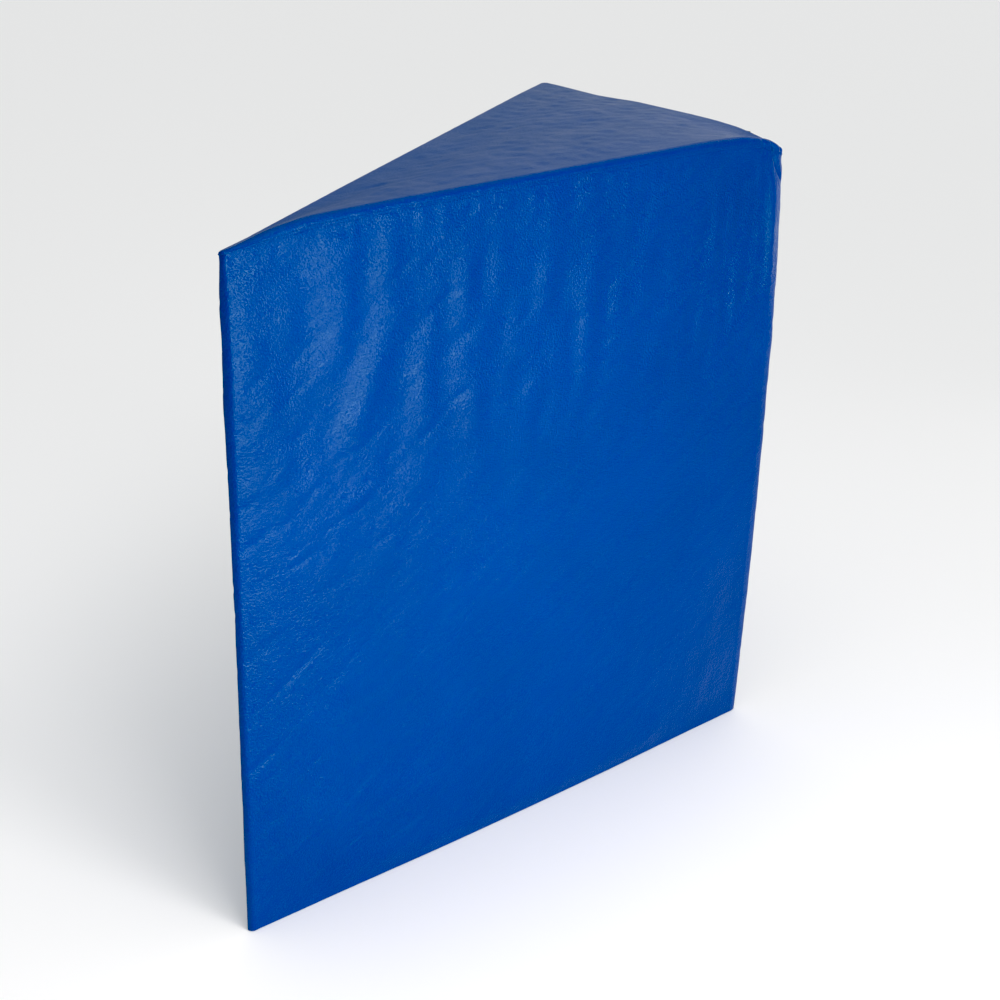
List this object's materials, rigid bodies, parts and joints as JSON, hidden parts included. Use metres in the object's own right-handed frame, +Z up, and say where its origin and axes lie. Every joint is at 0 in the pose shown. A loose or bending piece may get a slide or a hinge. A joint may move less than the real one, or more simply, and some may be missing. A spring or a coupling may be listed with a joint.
{
  "type": "incline wedge mat",
  "caption": "Foam incline wedge mat in a sewn vinyl cover with a zip closure, standing on one triangular side.",
  "frame": {"origin": "on the floor, in the middle of the box of the mat as it stands on its triangular side", "axes": "+Z up, along the mat's width; +X along the base from the toe to the tall end; +Y from the base to the crest"},
  "size_m": [0.6145, 0.338, 0.61],
  "materials": {
    "vinyl": "satin",
    "foam": "matte",
    "thread": "satin",
    "tape": "matte",
    "teeth": "satin",
    "zip_metal": "satin"
  },
  "bodies": {
    "mat": {"foam_core": "foam", "base_panel": "vinyl", "incline_panel": "vinyl", "tall_end_upper_panel": "vinyl", "tall_end_lower_panel": "vinyl", "side_panel_top": "vinyl", "side_panel_bottom": "vinyl", "zip_tape_upper": "tape", "zip_tape_lower": "tape", "zip_teeth_upper": "teeth", "zip_teeth_lower": "teeth", "zip_top_stops": "zip_metal", "zip_bottom_stop": "zip_metal", "thread_side_top": "thread", "thread_side_bottom": "thread", "thread_toe": "thread", "thread_heel": "thread", "thread_crest": "thread", "thread_zip_upper": "thread", "thread_zip_lower": "thread"},
    "slider": {"zip_slider": "zip_metal"},
    "pull_tab": {"zip_pull_tab": "zip_metal"}
  },
  "joints": [
    {"name": "zip_slide", "type": "slide", "parent": "mat", "child": "slider", "axis": [0, 0, -1], "range_m": [0, 0.534]},
    {"name": "tab_hinge", "type": "hinge", "parent": "slider", "child": "pull_tab", "pos_m": [0.3076, -0.109, 0.5722], "axis": [0, -1, 0], "range_deg": [0, 175]}
  ]
}
